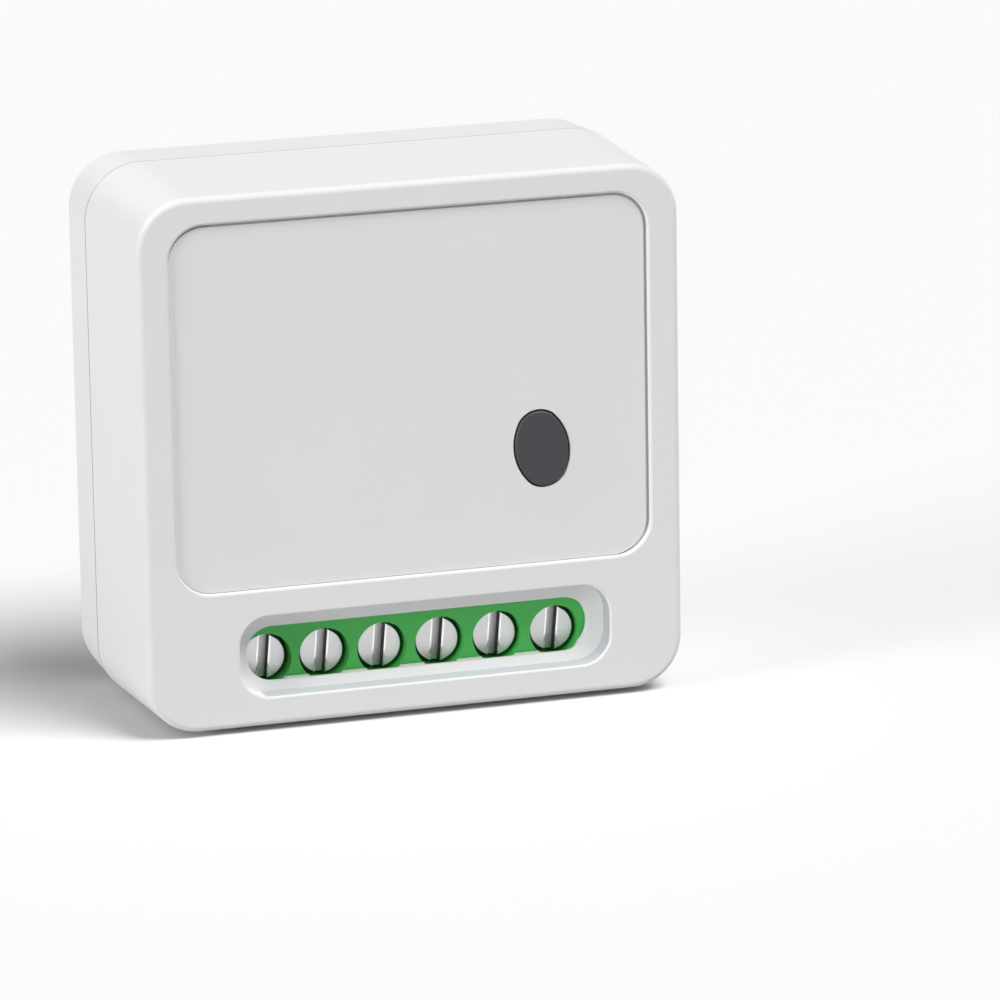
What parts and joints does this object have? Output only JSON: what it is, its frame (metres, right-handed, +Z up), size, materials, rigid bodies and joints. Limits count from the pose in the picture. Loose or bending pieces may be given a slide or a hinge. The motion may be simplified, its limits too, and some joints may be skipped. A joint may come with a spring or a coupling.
{
  "type": "smart relay module",
  "caption": "Small white switching box with a sunk blank face panel, an oval push-button and a row of green screw terminals behind a window along its lower edge.",
  "frame": {"origin": "on the supporting plane, below the middle of the case", "axes": "+Z up the face, +X to the viewer's right, -Y out of the face"},
  "size_m": [0.047, 0.0218, 0.0454],
  "materials": {
    "white_plastic": "fine satin moulding",
    "label_film": "blank satin film",
    "button_plastic": "matt",
    "green_plastic": "satin",
    "plated_steel": "plated",
    "brass": "plain",
    "tinned_metal": "tinned",
    "circuit_board": "solder mask on glass fibre",
    "black_plastic": "moulded",
    "relay_plastic": "moulded",
    "copper": "enamelled or bare copper",
    "iron": "plated iron or ferrite",
    "coil_tape": "polyester tape",
    "capacitor_can": "sleeved can",
    "ceramic_coat": "coated",
    "lamp_resin": "clear"
  },
  "bodies": {
    "case": {"front_cover": "white_plastic", "rear_cover": "white_plastic", "panel_film": "label_film", "terminal_block": "green_plastic", "terminal_bars": "tinned_metal", "switch_frame": "tinned_metal", "relay_coil_pins": "tinned_metal", "radio_shield": "tinned_metal", "main_board": "circuit_board", "radio_board": "circuit_board", "switch_base": "black_plastic", "relay_base": "black_plastic", "relay_bobbin": "black_plastic", "transformer_bobbin": "black_plastic", "optocoupler": "black_plastic", "bridge_rectifier": "black_plastic", "supply_chip": "black_plastic", "regulator_chip": "black_plastic", "chip_resistors": "black_plastic", "relay_cover": "relay_plastic", "relay_winding": "copper", "relay_make_contact": "copper", "relay_break_contact": "copper", "relay_core": "iron", "relay_yoke": "iron", "transformer_core": "iron", "choke_coil": "iron", "transformer_winding": "coil_tape", "input_capacitor": "capacitor_can", "output_capacitor": "capacitor_can", "fuse_resistor": "ceramic_coat", "varistor_disc": "ceramic_coat", "chip_capacitors": "ceramic_coat", "status_led": "lamp_resin"},
    "button": {"button_cap": "button_plastic", "switch_plunger": "button_plastic", "switch_dome": "tinned_metal"},
    "armature": {"relay_armature": "iron", "relay_leaf": "copper"},
    "screw_1": {"terminal_screw_1": "plated_steel"},
    "cage_1": {"clamp_cage_1": "brass"},
    "screw_2": {"terminal_screw_2": "plated_steel"},
    "cage_2": {"clamp_cage_2": "brass"},
    "screw_3": {"terminal_screw_3": "plated_steel"},
    "cage_3": {"clamp_cage_3": "brass"},
    "screw_4": {"terminal_screw_4": "plated_steel"},
    "cage_4": {"clamp_cage_4": "brass"},
    "screw_5": {"terminal_screw_5": "plated_steel"},
    "cage_5": {"clamp_cage_5": "brass"},
    "screw_6": {"terminal_screw_6": "plated_steel"},
    "cage_6": {"clamp_cage_6": "brass"}
  },
  "joints": [
    {"name": "button_press", "type": "slide", "parent": "case", "child": "button", "axis": [0, 1, 0], "range_m": [0, 0.0003], "stiffness_N_per_m": 3000},
    {"name": "screw_1_turn", "type": "hinge", "parent": "case", "child": "screw_1", "pos_m": [-0.0121, -0.0066, 0.0052], "axis": [0, 1, 0], "range_deg": [0, 1620]},
    {"name": "screw_2_turn", "type": "hinge", "parent": "case", "child": "screw_2", "pos_m": [-0.0071, -0.0066, 0.0052], "axis": [0, 1, 0], "range_deg": [0, 1620]},
    {"name": "screw_3_turn", "type": "hinge", "parent": "case", "child": "screw_3", "pos_m": [-0.0021, -0.0066, 0.0052], "axis": [0, 1, 0], "range_deg": [0, 1620]},
    {"name": "screw_4_turn", "type": "hinge", "parent": "case", "child": "screw_4", "pos_m": [0.0029, -0.0066, 0.0052], "axis": [0, 1, 0], "range_deg": [0, 1620]},
    {"name": "screw_5_turn", "type": "hinge", "parent": "case", "child": "screw_5", "pos_m": [0.0079, -0.0066, 0.0052], "axis": [0, 1, 0], "range_deg": [0, 1620]},
    {"name": "screw_6_turn", "type": "hinge", "parent": "case", "child": "screw_6", "pos_m": [0.0129, -0.0066, 0.0052], "axis": [0, 1, 0], "range_deg": [0, 1620]},
    {"name": "cage_1_lift", "type": "slide", "parent": "case", "child": "cage_1", "axis": [0, -1, 0], "range_m": [0, 0.00202]},
    {"name": "cage_2_lift", "type": "slide", "parent": "case", "child": "cage_2", "axis": [0, -1, 0], "range_m": [0, 0.00202]},
    {"name": "cage_3_lift", "type": "slide", "parent": "case", "child": "cage_3", "axis": [0, -1, 0], "range_m": [0, 0.00202]},
    {"name": "cage_4_lift", "type": "slide", "parent": "case", "child": "cage_4", "axis": [0, -1, 0], "range_m": [0, 0.00202]},
    {"name": "cage_5_lift", "type": "slide", "parent": "case", "child": "cage_5", "axis": [0, -1, 0], "range_m": [0, 0.00202]},
    {"name": "cage_6_lift", "type": "slide", "parent": "case", "child": "cage_6", "axis": [0, -1, 0], "range_m": [0, 0.00202]},
    {"name": "armature_rock", "type": "hinge", "parent": "case", "child": "armature", "pos_m": [-0.01315, -0.00392, 0.02425], "axis": [1, 0, 0], "range_deg": [0, 3], "stiffness_Nm_per_rad": 0.02}
  ],
  "couplings": [
    {"joint": "screw_1_turn", "follows": "cage_1_lift", "rad_per_m": 13963},
    {"joint": "screw_2_turn", "follows": "cage_2_lift", "rad_per_m": 13963},
    {"joint": "screw_3_turn", "follows": "cage_3_lift", "rad_per_m": 13963},
    {"joint": "screw_4_turn", "follows": "cage_4_lift", "rad_per_m": 13963},
    {"joint": "screw_5_turn", "follows": "cage_5_lift", "rad_per_m": 13963},
    {"joint": "screw_6_turn", "follows": "cage_6_lift", "rad_per_m": 13963}
  ]
}
